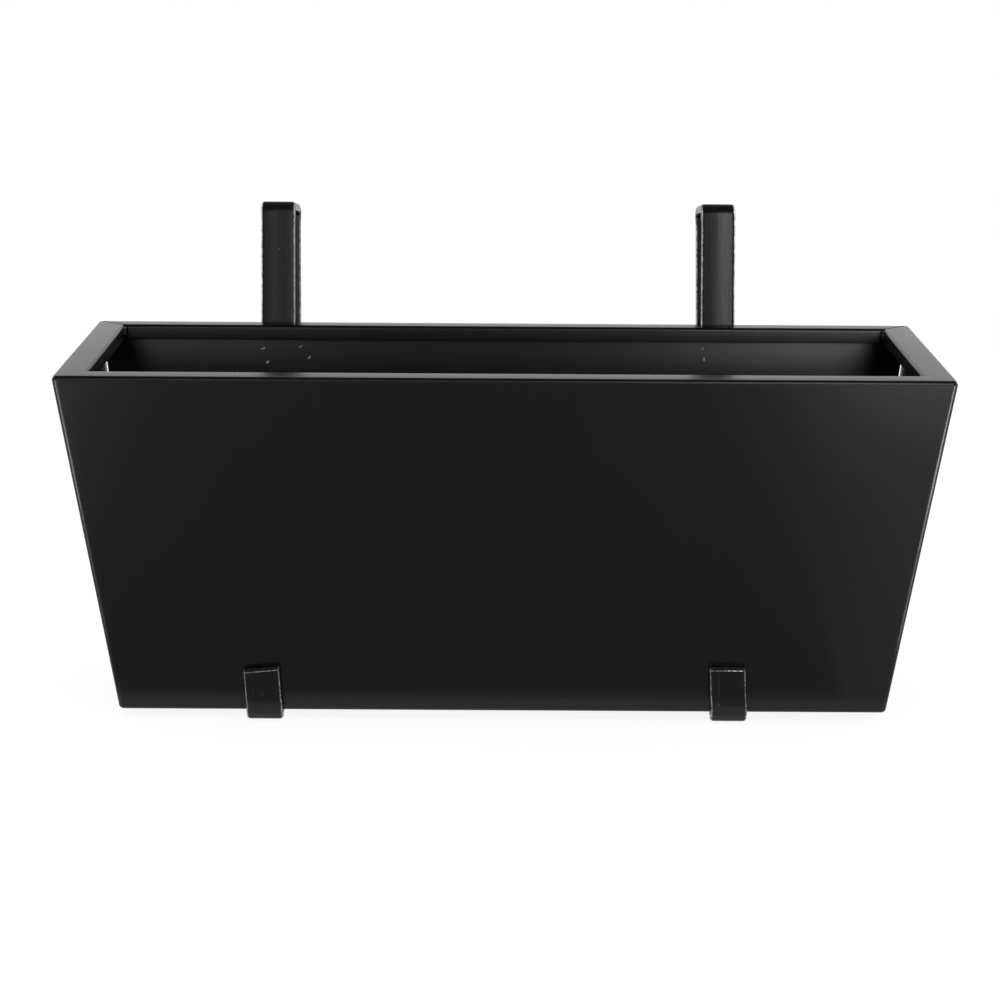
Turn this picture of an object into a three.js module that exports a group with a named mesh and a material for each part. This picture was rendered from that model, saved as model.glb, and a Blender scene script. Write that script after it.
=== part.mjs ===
// A tapered window box planter of powder-coated sheet steel, hung on two bent flat-bar brackets.
// Millimetres, +Z up. X runs along the box and the front faces -Y. The origin ends up at the
// middle of the whole object's footprint, on the plane that the bracket straps stand on.
//
// The box is three sheets: a shell (front and both ends, folded from one blank), a rear panel
// between the ends, and a floor that drops in on the turned-in ledges. All four walls lean out
// towards the rim by the same slope. Each bracket hooks over a railing, runs down the sloping
// rear wall, passes under the floor and turns up in front as a short tab.

import * as THREE from 'three';

// Box, measured over the outside of the sheet
const rimLength = 610; // along X
const rimDepth = 238; // front to back
const boxHeight = 243; // rim face to underside
const wallInset = 36; // how far each wall comes in between the rim and the underside
const sheet = 1.2; // thickness of all three sheets
const foldRadius = 1.4; // inside radius of the folds along the rim and the underside
const cornerRadius = 4; // outside radius of the shell's two front corners
const mitreRadius = 0.2; // ground weld where the rim and the ledge turn the front corners

// Rim and ledge, folded from the same sheets
const rimFlange = 22; // rim face at the front and the ends
const rearRimFlange = 18.8; // rim face of the rear panel
const rimLip = 10.5; // drop of the rim's turned-down inner edge
const floorLedge = 14; // turned-in edge that carries the floor
const seamGap = 0.7; // open seam between the shell and the rear panel

// Drain holes in the floor
const drainRadius = 5;
const drainCount = 5;
const drainSpacing = 105;

// Brackets, of flat bar with rounded edges
const barWidth = 25.4;
const barThickness = 6.35;
const barEdgeRadius = 2.4;
const bracketSpacing = 331.6; // between the middles of the two pairs of lugs
const hookRise = 90.2; // rim to the hook's top face, along the rear wall's slope
const railGap = 57; // clear width of the hook, over a railing
const hookLeg = 114; // length of the hook's rear leg, with the top bend
const tabHeight = 34; // front tab, from the underside of the box

// Lugs welded to the outside of the rear panel, one on each side of each bar
const lugWidth = 4.5;
const lugLength = 21;
const lugDepth = 4.5;
const lugCornerRadius = 1;
const lugPlay = 4.1; // room on each side of a bar that stands midway between its lugs
const lugDrop = 23; // from the rim down to the middle of a lug, along the slope

// Clearances
const restGap = 0.3; // between pieces that rest on each other

// Fineness of the curves, in steps
const foldSteps = 6;
const edgeSteps = 3;
const drainSteps = 24;

const slope = Math.atan2(wallInset, boxHeight);
const wallDepth = sheet / Math.cos(slope); // horizontal thickness of a sloping wall
const outerFoldRadius = foldRadius + sheet;
const rimMitre = rearRimFlange / rimFlange; // how far the rear seam runs forward for each step inwards
const seamTrim = (seamGap / 2) * Math.hypot(1, rimMitre); // half the rim seam, measured along Y
const ledgeTrim = (seamGap / 2) * Math.SQRT2; // half the ledge seam, measured along Y
const bracketShift = restGap - lugPlay; // both bars lie against the left lug of their pair
const lugOffset = barWidth / 2 + lugPlay + lugWidth / 2; // middle of the pair to a lug's middle

function powderCoat(color, roughness) {
  return new THREE.MeshStandardMaterial({ color, roughness, metalness: 0 });
}

function namedMesh(name, geometry, material) {
  const mesh = new THREE.Mesh(geometry, material);
  mesh.name = name;
  return mesh;
}

// How far a wall's outer face stands in from the rim's outline at a height below the rim
function wallInsetAt(z) {
  return -z * Math.tan(slope);
}

function leftOf(direction) {
  return new THREE.Vector2(-direction.y, direction.x);
}

// Folds a strip along the corners of its right-hand face. Returns one entry for each place along
// the strip, with the point on the right-hand face and the matching point on the left-hand face.
function foldStrip(corners, thickness, insideRadius) {
  const places = [];
  const place = (point, direction) => {
    const across = leftOf(direction).multiplyScalar(thickness);
    places.push({ right: point.clone(), left: point.clone().add(across) });
  };
  const headings = corners.slice(1).map((corner, i) => corner.clone().sub(corners[i]).normalize());
  place(corners[0], headings[0]);
  for (let i = 1; i < corners.length - 1; i += 1) {
    const before = headings[i - 1];
    const turn = Math.atan2(before.cross(headings[i]), before.dot(headings[i]));
    const side = Math.sign(turn);
    const radius = side > 0 ? insideRadius + thickness : insideRadius;
    const run = radius * Math.tan(Math.abs(turn) / 2);
    const centre = corners[i].clone()
      .addScaledVector(before, -run)
      .addScaledVector(leftOf(before), side * radius);
    for (let step = 0; step <= foldSteps; step += 1) {
      const heading = before.clone().rotateAround(new THREE.Vector2(), (turn * step) / foldSteps);
      place(centre.clone().addScaledVector(leftOf(heading), -side * radius), heading);
    }
  }
  place(corners[corners.length - 1], headings[headings.length - 1]);
  return places;
}

// Lists a folded strip's section as one loop: along its right-hand face and back on the left
function sectionLoop(places) {
  const right = places.map((entry) => entry.right);
  const left = places.map((entry) => entry.left);
  return right.concat(left.reverse());
}

// Skins rings of points into one closed body. A ring lists one side of its section and then the
// other side backwards, so that the two ends close as strips across the thickness.
function skinRings(rings) {
  const count = rings[0].length;
  const index = [];
  const quad = (a, b, c, d) => index.push(a, b, c, a, c, d);
  for (let ring = 0; ring < rings.length - 1; ring += 1) {
    const start = ring * count;
    for (let i = 0; i < count; i += 1) {
      const next = (i + 1) % count;
      quad(start + i, start + next, start + count + next, start + count + i);
    }
  }
  const last = (rings.length - 1) * count;
  for (let i = 0; i < count / 2 - 1; i += 1) {
    const facing = count - 1 - i;
    quad(i, facing, facing - 1, i + 1);
    quad(last + i, last + i + 1, last + facing - 1, last + facing);
  }
  const geometry = new THREE.BufferGeometry().setFromPoints(rings.flat());
  geometry.setIndex(index);
  geometry.computeVertexNormals();
  return geometry;
}

// Section of a wall with its rim and its ledge: x is the inset from the rim's outline, y the
// height. The right-hand face is the one that shows: lip, rim face, outer wall and underside.
function wallSection(flange) {
  return sectionLoop(foldStrip([
    new THREE.Vector2(flange, -rimLip),
    new THREE.Vector2(flange, 0),
    new THREE.Vector2(0, 0),
    new THREE.Vector2(wallInset, -boxHeight),
    new THREE.Vector2(wallInset + floorLedge, -boxHeight),
  ], sheet, foldRadius));
}

// True for points of a section on the rim or the ledge, past the thickness of the wall itself
function isPastWall(point) {
  return point.x - wallInsetAt(point.y) > wallDepth + mitreRadius;
}

// Where the shell ends at the back: flush with the rear panel's outer face on the walls, and on
// a mitre on the rim and the ledge
function shellRearEnd(point) {
  const rearFace = rimDepth - wallInsetAt(point.y);
  if (!isPastWall(point)) return rearFace;
  const inwards = point.x - wallInsetAt(point.y);
  if (point.y > -boxHeight / 2) return rimDepth - point.x * rimMitre - seamTrim;
  return rearFace - inwards - ledgeTrim;
}

// Half the length of the rear panel at a point of its section: it stops short of the end walls,
// and its rim and ledge are mitred to meet the shell's
function rearHalfLength(point) {
  const betweenEnds = rimLength / 2 - wallInsetAt(point.y) - wallDepth - seamGap;
  if (!isPastWall(point)) return betweenEnds;
  const inwards = point.x - wallInsetAt(point.y);
  const mitred = point.y > -boxHeight / 2
    ? rimLength / 2 - (point.x + seamTrim) / rimMitre
    : rimLength / 2 - wallInsetAt(point.y) - inwards - ledgeTrim;
  return Math.min(betweenEnds, mitred);
}

// Front and both ends in one piece, round the two front corners
function shellGeometry() {
  const section = wallSection(rimFlange);
  const radiusAt = (point) => Math.max(
    cornerRadius - (point.x - wallInsetAt(point.y)),
    mitreRadius,
  );
  const leftRing = (station) => section.map((point) => {
    if (station < 0) {
      return new THREE.Vector3(point.x - rimLength / 2, shellRearEnd(point), point.y);
    }
    const radius = radiusAt(point);
    const angle = Math.PI + ((Math.PI / 2) * station) / foldSteps;
    return new THREE.Vector3(
      point.x + radius - rimLength / 2 + radius * Math.cos(angle),
      point.x + radius + radius * Math.sin(angle),
      point.y,
    );
  });
  const leftHalf = [];
  for (let station = -1; station <= foldSteps; station += 1) leftHalf.push(leftRing(station));
  const rightHalf = leftHalf.map((ring) => ring.map((p) => new THREE.Vector3(-p.x, p.y, p.z)));
  return skinRings(leftHalf.concat(rightHalf.reverse()));
}

// Rear wall, straight along X
function rearPanelGeometry() {
  const section = wallSection(rearRimFlange);
  const ring = (side) => section.map((point) => new THREE.Vector3(
    side * rearHalfLength(point),
    rimDepth - point.x,
    point.y,
  ));
  return skinRings([ring(1), ring(-1)]);
}

function roundedRectangle(width, height, radius) {
  const x = width / 2;
  const y = height / 2;
  const shape = new THREE.Shape();
  shape.absarc(x - radius, y - radius, radius, 0, Math.PI / 2);
  shape.absarc(radius - x, y - radius, radius, Math.PI / 2, Math.PI);
  shape.absarc(radius - x, radius - y, radius, Math.PI, 1.5 * Math.PI);
  shape.absarc(x - radius, radius - y, radius, 1.5 * Math.PI, 2 * Math.PI);
  return shape;
}

// Floor sheet, with its edges clear of the folds' inside radius and a row of drain holes
function floorGeometry() {
  const edge = wallInset + wallDepth + foldRadius + restGap;
  const outline = roundedRectangle(rimLength - 2 * edge, rimDepth - 2 * edge, outerFoldRadius);
  const firstDrain = (-drainSpacing * (drainCount - 1)) / 2;
  for (let i = 0; i < drainCount; i += 1) {
    const hole = new THREE.Path();
    hole.absarc(firstDrain + i * drainSpacing, 0, drainRadius, 0, 2 * Math.PI, true);
    outline.holes.push(hole);
  }
  return new THREE.ExtrudeGeometry(outline, {
    depth: sheet,
    bevelEnabled: false,
    curveSegments: drainSteps,
  });
}

// Directions in a plane square to X: up a wall's slope, and out of the rear wall's face
const upRearWall = new THREE.Vector2(Math.sin(slope), Math.cos(slope));
const outOfRearWall = new THREE.Vector2(Math.cos(slope), -Math.sin(slope));
const upFrontWall = new THREE.Vector2(-Math.sin(slope), Math.cos(slope));

// Point beside the rear wall: a distance up its slope from the rim, and a distance out from it
function besideRearWall(up, out) {
  return new THREE.Vector2(rimDepth, 0)
    .addScaledVector(upRearWall, up)
    .addScaledVector(outOfRearWall, out);
}

// Corners of the bar's face that lies on the box, from the end of the rear leg to the tab
function bracketCorners() {
  const hookDepth = railGap + 2 * barThickness;
  const strapTop = -boxHeight - restGap;
  const slopeGap = restGap / Math.cos(slope); // restGap beside a sloping wall, measured along Y
  const strapInset = wallInsetAt(strapTop) - slopeGap;
  const rearBottom = new THREE.Vector2(rimDepth - strapInset, strapTop);
  const frontBottom = new THREE.Vector2(strapInset, strapTop);
  return [
    besideRearWall(hookRise - hookLeg, restGap + hookDepth),
    besideRearWall(hookRise, restGap + hookDepth),
    besideRearWall(hookRise, restGap),
    rearBottom,
    frontBottom,
    frontBottom.clone().addScaledVector(upFrontWall, tabHeight / Math.cos(slope)),
  ];
}

// One half of the bar's rounded section, as x across its width and y through its thickness
function barHalfSection() {
  const points = [];
  for (let step = 0; step <= edgeSteps; step += 1) {
    const angle = (Math.PI / 2) * (step / edgeSteps);
    points.push(new THREE.Vector2(
      barWidth / 2 - barEdgeRadius * (1 - Math.cos(angle)),
      barThickness / 2 - barEdgeRadius * (1 - Math.sin(angle)),
    ));
  }
  const mirrored = points.map((point) => new THREE.Vector2(-point.x, point.y)).reverse();
  return points.concat(mirrored);
}

// A flat bar bent round the box's own bottom edges and over the railing
function bracketGeometry() {
  const halfSection = barHalfSection();
  const otherHalf = halfSection.map((point) => new THREE.Vector2(point.x, -point.y)).reverse();
  const loop = halfSection.concat(otherHalf);
  const places = foldStrip(bracketCorners(), barThickness, outerFoldRadius + restGap);
  return skinRings(places.map(({ right, left }) => {
    const middle = right.clone().add(left).divideScalar(2);
    const across = right.clone().sub(left).normalize();
    return loop.map((point) => new THREE.Vector3(
      point.x,
      middle.x + across.x * point.y,
      middle.y + across.y * point.y,
    ));
  }));
}

// A small locating lug: a rounded block standing on the rear wall
function lugGeometry() {
  return new THREE.ExtrudeGeometry(roundedRectangle(lugWidth, lugLength, lugCornerRadius), {
    depth: lugDepth,
    bevelEnabled: false,
    curveSegments: edgeSteps,
  });
}

const planter = new THREE.Group();
planter.add(namedMesh('planter_shell', shellGeometry(), powderCoat(0x1d1d1e, 0.42)));
planter.add(namedMesh('rear_panel', rearPanelGeometry(), powderCoat(0x1c1c1d, 0.42)));

const floor = namedMesh('floor_panel', floorGeometry(), powderCoat(0x1a1a1b, 0.48));
floor.position.set(0, rimDepth / 2, sheet + restGap - boxHeight);
planter.add(floor);

const brackets = new THREE.Group();
for (const side of [{ name: 'left', sign: -1 }, { name: 'right', sign: 1 }]) {
  const pairMiddle = (side.sign * bracketSpacing) / 2;
  const bracket = namedMesh(`bracket_${side.name}`, bracketGeometry(), powderCoat(0x202022, 0.45));
  bracket.position.x = pairMiddle + bracketShift;
  brackets.add(bracket);

  for (const lugSide of [{ name: 'outer', sign: side.sign }, { name: 'inner', sign: -side.sign }]) {
    const lug = namedMesh(`lug_${side.name}_${lugSide.name}`, lugGeometry(), powderCoat(0x1c1c1d, 0.45));
    const seat = besideRearWall(-lugDrop, restGap + lugDepth);
    lug.position.set(pairMiddle + lugSide.sign * lugOffset, seat.x, seat.y);
    lug.rotation.x = Math.PI / 2 - slope;
    planter.add(lug);
  }
}

// The whole object stands on its straps, with the origin below the middle of its outline
const windowBox = new THREE.Group();
windowBox.add(planter, brackets);
const extent = new THREE.Box3().setFromObject(windowBox);
windowBox.position.set(0, -(extent.min.y + extent.max.y) / 2, -extent.min.z);

export default windowBox;
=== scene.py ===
"""Finish of a sheet-steel window box planter in two bent flat-bar brackets, around the packed model."""

import math

import bmesh
import bpy
import numpy as np
from bpy.props import FloatProperty, FloatVectorProperty, IntProperty, PointerProperty
from mathutils import Matrix, Vector


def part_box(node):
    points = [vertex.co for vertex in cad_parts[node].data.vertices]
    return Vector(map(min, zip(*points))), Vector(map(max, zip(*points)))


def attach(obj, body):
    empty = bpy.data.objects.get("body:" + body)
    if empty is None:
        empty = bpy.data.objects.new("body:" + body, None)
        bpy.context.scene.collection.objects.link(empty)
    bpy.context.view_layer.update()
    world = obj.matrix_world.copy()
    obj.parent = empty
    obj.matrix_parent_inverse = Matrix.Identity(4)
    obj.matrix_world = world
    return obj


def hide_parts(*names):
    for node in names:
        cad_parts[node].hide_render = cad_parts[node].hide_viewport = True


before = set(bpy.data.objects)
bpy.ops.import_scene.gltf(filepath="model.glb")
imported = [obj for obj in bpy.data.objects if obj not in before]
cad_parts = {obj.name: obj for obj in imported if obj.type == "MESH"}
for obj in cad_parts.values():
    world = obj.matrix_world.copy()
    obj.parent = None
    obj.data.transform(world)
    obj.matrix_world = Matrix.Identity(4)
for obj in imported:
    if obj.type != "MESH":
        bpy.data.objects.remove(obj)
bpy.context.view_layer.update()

bl_info = {
    "name": "Window box planter",
    "version": (1, 0, 0),
    "blender": (4, 5, 0),
    "location": "3D view > Sidebar > Window box",
    "description": "Sheets, brackets, welds and studio for a powder-coated window box",
    "category": "Object",
}

SHELL_LOW, SHELL_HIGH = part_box("planter_shell")
FLOOR_LOW, FLOOR_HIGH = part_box("floor_panel")
REAR_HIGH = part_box("rear_panel")[1]
BAR_LOW, BAR_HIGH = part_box("bracket_left")
BAR_HALF = (BAR_HIGH.x - BAR_LOW.x) / 2

PLANTER_BODY = "planter"
BRACKET_BODY = "brackets"
LUGS = ("lug_left_outer", "lug_left_inner", "lug_right_inner", "lug_right_outer")

# Spot welds on the rear wall's inner face: metres along X, and below the rim
SPOTS = (
    (-0.1814, 0.0199), (-0.1779, 0.0303), (-0.1530, 0.0183), (-0.1465, 0.0268),
    (0.1492, 0.0179), (0.1505, 0.0263), (0.1840, 0.0177), (0.1879, 0.0271),
)

FOLD_STEPS = 10
CORNER_STEPS = 14
MERGE_DISTANCE = 1e-7
BESIDE_BENDS = (0.0066, 0.0078, 0.0094, 0.012, 0.016)     # metres from a bend's sharp corner
CUT_BULGE = 0.18                      # of the sheet's thickness, at the middle of its cut edges
REFLECTOR_HEIGHT = 0.004
FLOOR_HALF = 12.0
FLOOR_LEVEL = -0.0004
FLOOR_GLOW = 0.9                      # radiance of the floor near the object, where 1 is white
SHADOW_FADES = (0.7, 1.8)             # metres from the object's middle
ROOM_DARKENS = (0.3, 0.75)            # sine of the height above the horizon

WHITE = (1.0, 1.0, 1.0, 1.0)
WARM_CEILING = (1.0, 0.965, 0.93, 1.0)
# Colour of the bars' edges: a painted highlight laid as uncoated steel, partly real wear where the coat is
# thin
BARE_STEEL_SHEEN = (0.3, 0.3, 0.3, 1.0)
FLOOR_SHOWN = (0.2, 0.2, 0.2, 1.0)    # as the camera and the coat's shine see the floor
FLOOR_LIT = (0.7, 0.7, 0.7, 1.0)      # as it throws light on matt surfaces


# Settings


def in_metres(name, text, value):
    return FloatProperty(name=name, description=text, default=value, unit="LENGTH")


def in_radians(name, text, value):
    return FloatProperty(name=name, description=text, default=value, subtype="ANGLE")


def unitless(name, text, value):
    return FloatProperty(name=name, description=text, default=value)


def both_sides(name, text, unit, values):
    """A value for the left bracket and one for the right"""
    return FloatVectorProperty(name=name, description=text, size=2, unit=unit, default=values)


class SheetSizes(bpy.types.PropertyGroup):
    """Sizes of the folded sheets"""

    wall_inset: in_metres("Wall inset", "How far each wall comes in between rim and underside", 0.036)
    sheet: in_metres("Sheet", "Thickness of the sheets", 0.0012)
    fold_radius: in_metres("Fold radius", "Inside radius of the folds", 0.0014)
    corner_radius: in_metres("Corner radius", "Outside radius of the two upright front corners", 0.004)
    mitre_radius: in_metres("Mitre radius", "Ground weld where the rim turns the front corners", 0.0002)
    rim_flange: in_metres("Rim face", "Width of the rim at the front and the ends", 0.022)
    rear_rim_flange: in_metres("Rear rim face", "Width of the rim at the back", 0.0188)
    rim_lip: in_metres("Rim lip", "Drop of the rim's inner edge", 0.0105)
    rear_lip_lean: in_radians(
        "Rear lip lean", "How far the rear lip's fold stops short of square", math.radians(4.5))
    floor_ledge: in_metres("Floor ledge", "Turned-in edge below the floor", 0.014)
    seam_gap: in_metres("Seam gap", "Open seam down the rear corners", 0.0008)
    rim_seam: in_metres("Rim seam", "Open mitre across the rim at the rear corners", 0.0016)
    cut_round: in_metres("Cut edge", "Rounding of the coat over the sheets' cut edges", 0.00012)
    crown: in_metres("Crown", "How far a wall swells between its folds", 0.00012)
    crown_reach: in_metres("Crown reach", "Distance from a fold over which the wall swells", 0.005)
    drain_radius: in_metres("Drain hole radius", "Radius of the holes in the floor", 0.005)
    drain_count: IntProperty(name="Drain holes", description="Holes in the floor", default=5)
    drain_spacing: in_metres("Drain spacing", "Between the middles of the drain holes", 0.105)


class BarSizes(bpy.types.PropertyGroup):
    """Sizes of the bent bars"""

    thickness: in_metres("Thickness", "Thickness of the bar", 0.00635)
    edge_radius: in_metres("Edge radius", "Rounding of the bar's long edges", 0.0024)
    hook_rise: in_metres("Hook rise", "Rim to the hook's top face, along the slope", 0.0901)
    rail_gap: in_metres("Rail gap", "Clear width of the hook", 0.05697)
    hook_leg: in_metres("Hook leg", "Length of the rear leg", 0.114)
    rest_gap: in_metres("Rest gap", "Between the bar and the box", 0.0003)
    bend_swell: in_metres("Bend swell", "How far the bar's edges swell inside a bend", 0.0007)
    end_round: in_metres("End rounding", "Rounding of the cut ends", 0.0007)
    tab: both_sides("Tab height", "Above the underside of the box", "LENGTH", (0.0328, 0.0352))
    skew: both_sides(
        "Tab skew", "How far out of square the tab is bent", "ROTATION",
        (math.radians(2.7), math.radians(3.1)))
    cut: both_sides(
        "Tab cut", "How far out of square the tab is cut", "ROTATION",
        (math.radians(3.0), math.radians(-3.0)))
    drift: both_sides(
        "Strap drift", "How far the strap runs sideways under the box", "LENGTH", (0.0032, -0.0037))
    lean: both_sides(
        "Hook lean", "How far the hook leans to the left", "ROTATION",
        (math.radians(0.45), math.radians(1.1)))
    crown: in_metres("Crown", "How far the bar's faces swell between their edges", 0.00012)


class WeldSizes(bpy.types.PropertyGroup):
    """Sizes of the welds and the lugs"""

    bead_radius: in_metres("Bead radius", "Radius of the weld beads", 0.0019)
    bead_length: in_metres("Bead length", "Length of the beads in the rear lip's corners", 0.0065)
    bead_lumps: in_metres("Bead lumps", "Unevenness of the weld beads", 0.0002)
    spot_radius: in_metres("Spot radius", "Radius of a spot weld's mark", 0.0014)
    spot_height: in_metres("Spot height", "Height of a spot weld's mark", 0.0002)
    lug_width: in_metres("Lug width", "Width of a lug along the box", 0.0045)
    lug_length: in_metres("Lug length", "Length of a lug up the wall", 0.021)
    lug_depth: in_metres("Lug depth", "How far a lug stands off the wall", 0.0045)
    lug_corner: in_metres("Lug corner", "Rounding of a lug's corners", 0.001)
    lug_edge: in_metres("Lug edge", "Rounding of a lug's edges", 0.0005)


class CoatLook(bpy.types.PropertyGroup):
    """Colours and shine of the powder coat"""

    sheet_color: FloatVectorProperty(
        name="Sheet coat", description="Colour of the coat on the sheets", size=3, subtype="COLOR",
        min=0, max=1, default=(0.0017, 0.0017, 0.0018))
    bar_color: FloatVectorProperty(
        name="Bar coat", description="Colour of the coat on the bars", size=3, subtype="COLOR",
        min=0, max=1, default=(0.0028, 0.0029, 0.0033))
    front_roughness: unitless("Front roughness", "Roughness of the sheets' coat at the front", 0.27)
    rear_roughness: unitless("Rear roughness", "Roughness of the sheets' coat at the back", 0.22)
    bar_roughness: unitless("Bar roughness", "Roughness of the coat on the bars", 0.24)
    # Share of the painted highlight along the bars' edges and cut ends, laid as uncoated metallic steel;
    # partly real wear where the coat is thin
    edge_sheen_and_wear: unitless(
        "Bare edges", "Share of bare steel where the coat is thin over the bars' edges", 0.72)
    sheen_index: unitless("Index", "Index of refraction of the coat on sheets and bars", 1.22)
    weld_index: unitless("Weld index", "Index of refraction of the coat over the welds", 1.6)
    peel_depth: in_metres("Orange peel", "Depth of the coat's texture", 0.00001)


class Studio(bpy.types.PropertyGroup):
    """Camera and lamps"""

    eye: FloatVectorProperty(
        name="Camera place", description="Where the camera stands, from the middle of the rim's front edge",
        size=3, subtype="TRANSLATION", default=(-0.008451, -1.867381, 0.33652))
    yaw: in_radians("Yaw", "Camera's turn", 0.00297)
    pitch: in_radians("Pitch", "Camera's tilt down", 0.22105)
    roll: in_radians("Roll", "Camera's roll", -0.00659)
    lens: unitless("Lens", "Focal length on a 36 mm sensor, in millimetres", 101.837)
    surround: unitless("Surround light", "Level of the room's light on matt surfaces", 0.75)
    ceiling: unitless("Ceiling", "Level of the room overhead, in reflections", 0.35)


SETTINGS = {
    "planter_sheets": SheetSizes,
    "planter_bars": BarSizes,
    "planter_welds": WeldSizes,
    "planter_coat": CoatLook,
    "planter_studio": Studio,
}


# Nodes


class Wire:
    """A node's output that takes part in sums written as Python"""

    def __init__(self, graph, socket):
        self.graph = graph
        self.socket = socket

    def maths(self, operation, *values):
        return self.graph.add("ShaderNodeMath", {"operation": operation}, dict(enumerate(values)))

    def __add__(self, other):
        return self.maths("ADD", self, other)

    def __sub__(self, other):
        return self.maths("SUBTRACT", self, other)

    def __rsub__(self, other):
        return self.maths("SUBTRACT", other, self)

    def __mul__(self, other):
        return self.maths("MULTIPLY", self, other)

    def __truediv__(self, other):
        return self.maths("DIVIDE", self, other)

    def __gt__(self, other):
        return self.maths("GREATER_THAN", self, other)

    def __lt__(self, other):
        return self.maths("LESS_THAN", self, other)

    __radd__ = __add__
    __rmul__ = __mul__

    def between(self, low, high):
        """0 below low, 1 above high and a smooth step from one to the other"""
        return self.graph.add(
            "ShaderNodeMapRange", {"interpolation_type": "SMOOTHSTEP"},
            {"Value": self, "From Min": low, "From Max": high})

    def clipped(self):
        """The value, kept from 0 to 1"""
        return self.graph.add("ShaderNodeClamp", None, {"Value": self})

    def bell(self, middle, reach):
        """1 at the middle, falling off smoothly over the reach on either side"""
        away = (self - middle) / reach
        return self.maths("EXPONENT", 0.0 - away * away)


class Graph:
    """A node tree that is filled by one method"""

    def __init__(self, tree):
        self.tree = tree

    def add(self, kind, settings=None, inputs=None, output=0):
        """Adds a node: its settings first, then the values or links of its inputs"""
        node = self.tree.nodes.new(kind)
        for name, value in (settings or {}).items():
            setattr(node, name, value)
        for key, value in (inputs or {}).items():
            self.feed(node.inputs[key], value)
        return Wire(self, node.outputs[output])

    def feed(self, socket, value):
        if isinstance(value, (list, tuple)) and value and isinstance(value[0], Wire):
            for wire in value:
                self.tree.links.new(wire.socket, socket)
        elif isinstance(value, Wire):
            self.tree.links.new(value.socket, socket)
        else:
            socket.default_value = value


class Recipe(Graph):
    """A geometry node tree with named inputs, that makes one mesh"""

    SOCKETS = {float: "NodeSocketFloat", int: "NodeSocketInt", Vector: "NodeSocketVector"}

    def __init__(self, name, values):
        super().__init__(bpy.data.node_groups.new(name, "GeometryNodeTree"))
        self.values = values
        face = self.tree.interface
        face.new_socket("Geometry", in_out="OUTPUT", socket_type="NodeSocketGeometry")
        face.new_socket("Geometry", in_out="INPUT", socket_type="NodeSocketGeometry")
        for label, value in values.items():
            face.new_socket(label, in_out="INPUT", socket_type=self.SOCKETS[type(value)])
        self.source = self.tree.nodes.new("NodeGroupInput")

    def given(self, label):
        return Wire(self, self.source.outputs[label])

    def position(self):
        return self.add("GeometryNodeInputPosition")

    def split(self, vector):
        return [self.add("ShaderNodeSeparateXYZ", None, {0: vector}, axis) for axis in range(3)]

    def join(self, x, y, z):
        return self.add("ShaderNodeCombineXYZ", None, {0: x, 1: y, 2: z})

    def vectors(self, operation, *values):
        return self.add("ShaderNodeVectorMath", {"operation": operation}, dict(enumerate(values)))

    def scaled(self, vector, amount):
        return self.add(
            "ShaderNodeVectorMath", {"operation": "SCALE"}, {"Vector": vector, "Scale": amount})

    def lengths(self, vector):
        return self.add("ShaderNodeVectorMath", {"operation": "LENGTH"}, {0: vector}, "Value")

    def rounded_rectangle(self, width, height, radius, steps):
        outline = self.add(
            "GeometryNodeCurvePrimitiveQuadrilateral", None, {"Width": width, "Height": height})
        return self.add(
            "GeometryNodeFilletCurve", {"mode": "POLY"},
            {"Curve": outline, "Count": steps, "Radius": radius})

    def from_seed(self):
        """The seed's points or edges"""
        return Wire(self, self.source.outputs[0])

    def placed(self, geometry, **where):
        """The geometry with its points set to a Position or moved by an Offset"""
        return self.add("GeometryNodeSetPosition", None, {"Geometry": geometry, **where})

    def stored(self, geometry, name, value):
        """The geometry with a number kept at every point"""
        return self.add(
            "GeometryNodeStoreNamedAttribute", {"data_type": "FLOAT", "domain": "POINT"},
            {"Geometry": geometry, "Name": name, "Value": value})

    def lumps(self, scale, seed):
        """Noise from -1 to 1 in each direction, that moves points about"""
        cloud = self.add(
            "ShaderNodeTexNoise", {"noise_dimensions": "4D"}, {"Scale": scale, "W": seed}, "Color")
        return self.vectors("MULTIPLY_ADD", cloud, (2.0, 2.0, 2.0), (-1.0, -1.0, -1.0))

    def finish(self, geometry, material):
        """Ends the tree: instances made real, and the material set"""
        real = self.add("GeometryNodeRealizeInstances", None, {"Geometry": geometry})
        coated = self.add("GeometryNodeSetMaterial", None, {"Geometry": real, "Material": material})
        end = self.tree.nodes.new("NodeGroupOutput")
        self.tree.links.new(coated.socket, end.inputs[0])

    def make(self, name, points, edges=()):
        """Runs the tree on a few points and returns the plain mesh that it makes"""
        seed = bpy.data.meshes.new(name + "_seed")
        seed.from_pydata([tuple(point) for point in points], list(edges), [])
        holder = bpy.data.objects.new(name + "_seed", seed)
        bpy.context.scene.collection.objects.link(holder)
        modifier = holder.modifiers.new(name, "NODES")
        modifier.node_group = self.tree
        for item in self.tree.interface.items_tree:
            if item.in_out == "INPUT" and item.name in self.values:
                value = self.values[item.name]
                modifier[item.identifier] = list(value) if isinstance(value, Vector) else value
        bpy.context.view_layer.update()
        evaluated = holder.evaluated_get(bpy.context.evaluated_depsgraph_get())
        mesh = bpy.data.meshes.new_from_object(evaluated)
        mesh.name = name
        bpy.data.objects.remove(holder)
        if not mesh.polygons:
            raise RuntimeError(f"{name} came out empty")
        return mesh


# Coats


def coat_graph(name):
    material = bpy.data.materials.new(name)
    material.use_nodes = True
    graph = Graph(material.node_tree)
    shader = material.node_tree.nodes["Principled BSDF"]
    place = graph.add("ShaderNodeTexCoord", output="Object")
    return material, graph, shader, place


def noise(graph, place, scale, detail=2.0, roughness=0.5):
    """Noise from 0 to 1 with features of about one over the scale, in metres"""
    return graph.add(
        "ShaderNodeTexNoise", None,
        {"Vector": place, "Scale": scale, "Detail": detail, "Roughness": roughness})


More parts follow.
